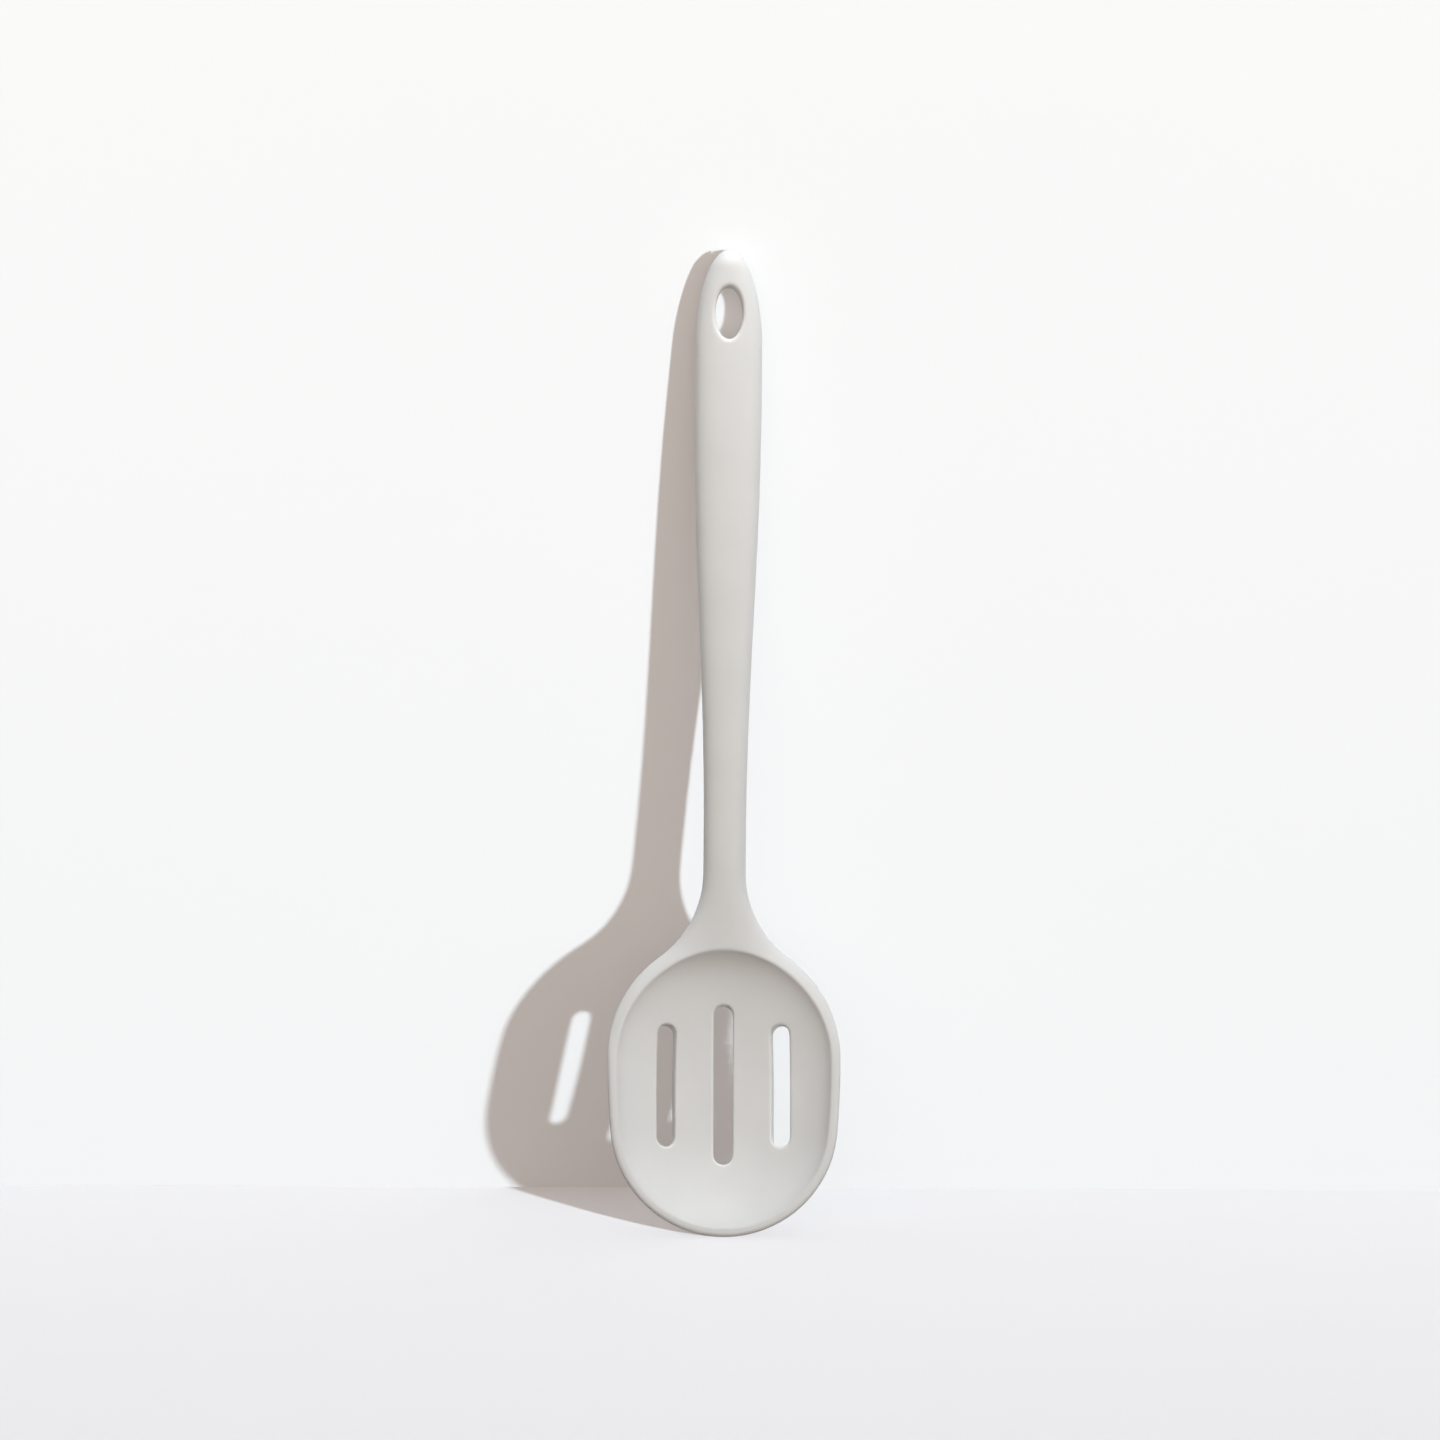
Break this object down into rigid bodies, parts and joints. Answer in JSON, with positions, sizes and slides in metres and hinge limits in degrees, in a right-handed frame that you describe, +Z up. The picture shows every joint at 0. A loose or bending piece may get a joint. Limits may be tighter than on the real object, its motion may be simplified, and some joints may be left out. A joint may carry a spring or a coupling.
{
  "type": "slotted skimmer",
  "caption": "Kitchen skimmer with a shallow slotted oval bowl, rounded rim and tapering handle with a hanging eye, moulded in grey silicone over a stiff core.",
  "frame": {"origin": "middle of the hanging eye, halfway through the handle's thickness", "axes": "+Z up along the handle, away from the bowl; -Y the way the bowl's hollow faces; +X to the right seen from the hollow's side"},
  "size_m": [0.0706, 0.0271, 0.2977],
  "materials": {
    "silicone": "matte light grey silicone",
    "core": "matte moulded nylon"
  },
  "bodies": {
    "root": {"silicone_body": "silicone", "stiffening_core": "core"}
  },
  "joints": []
}
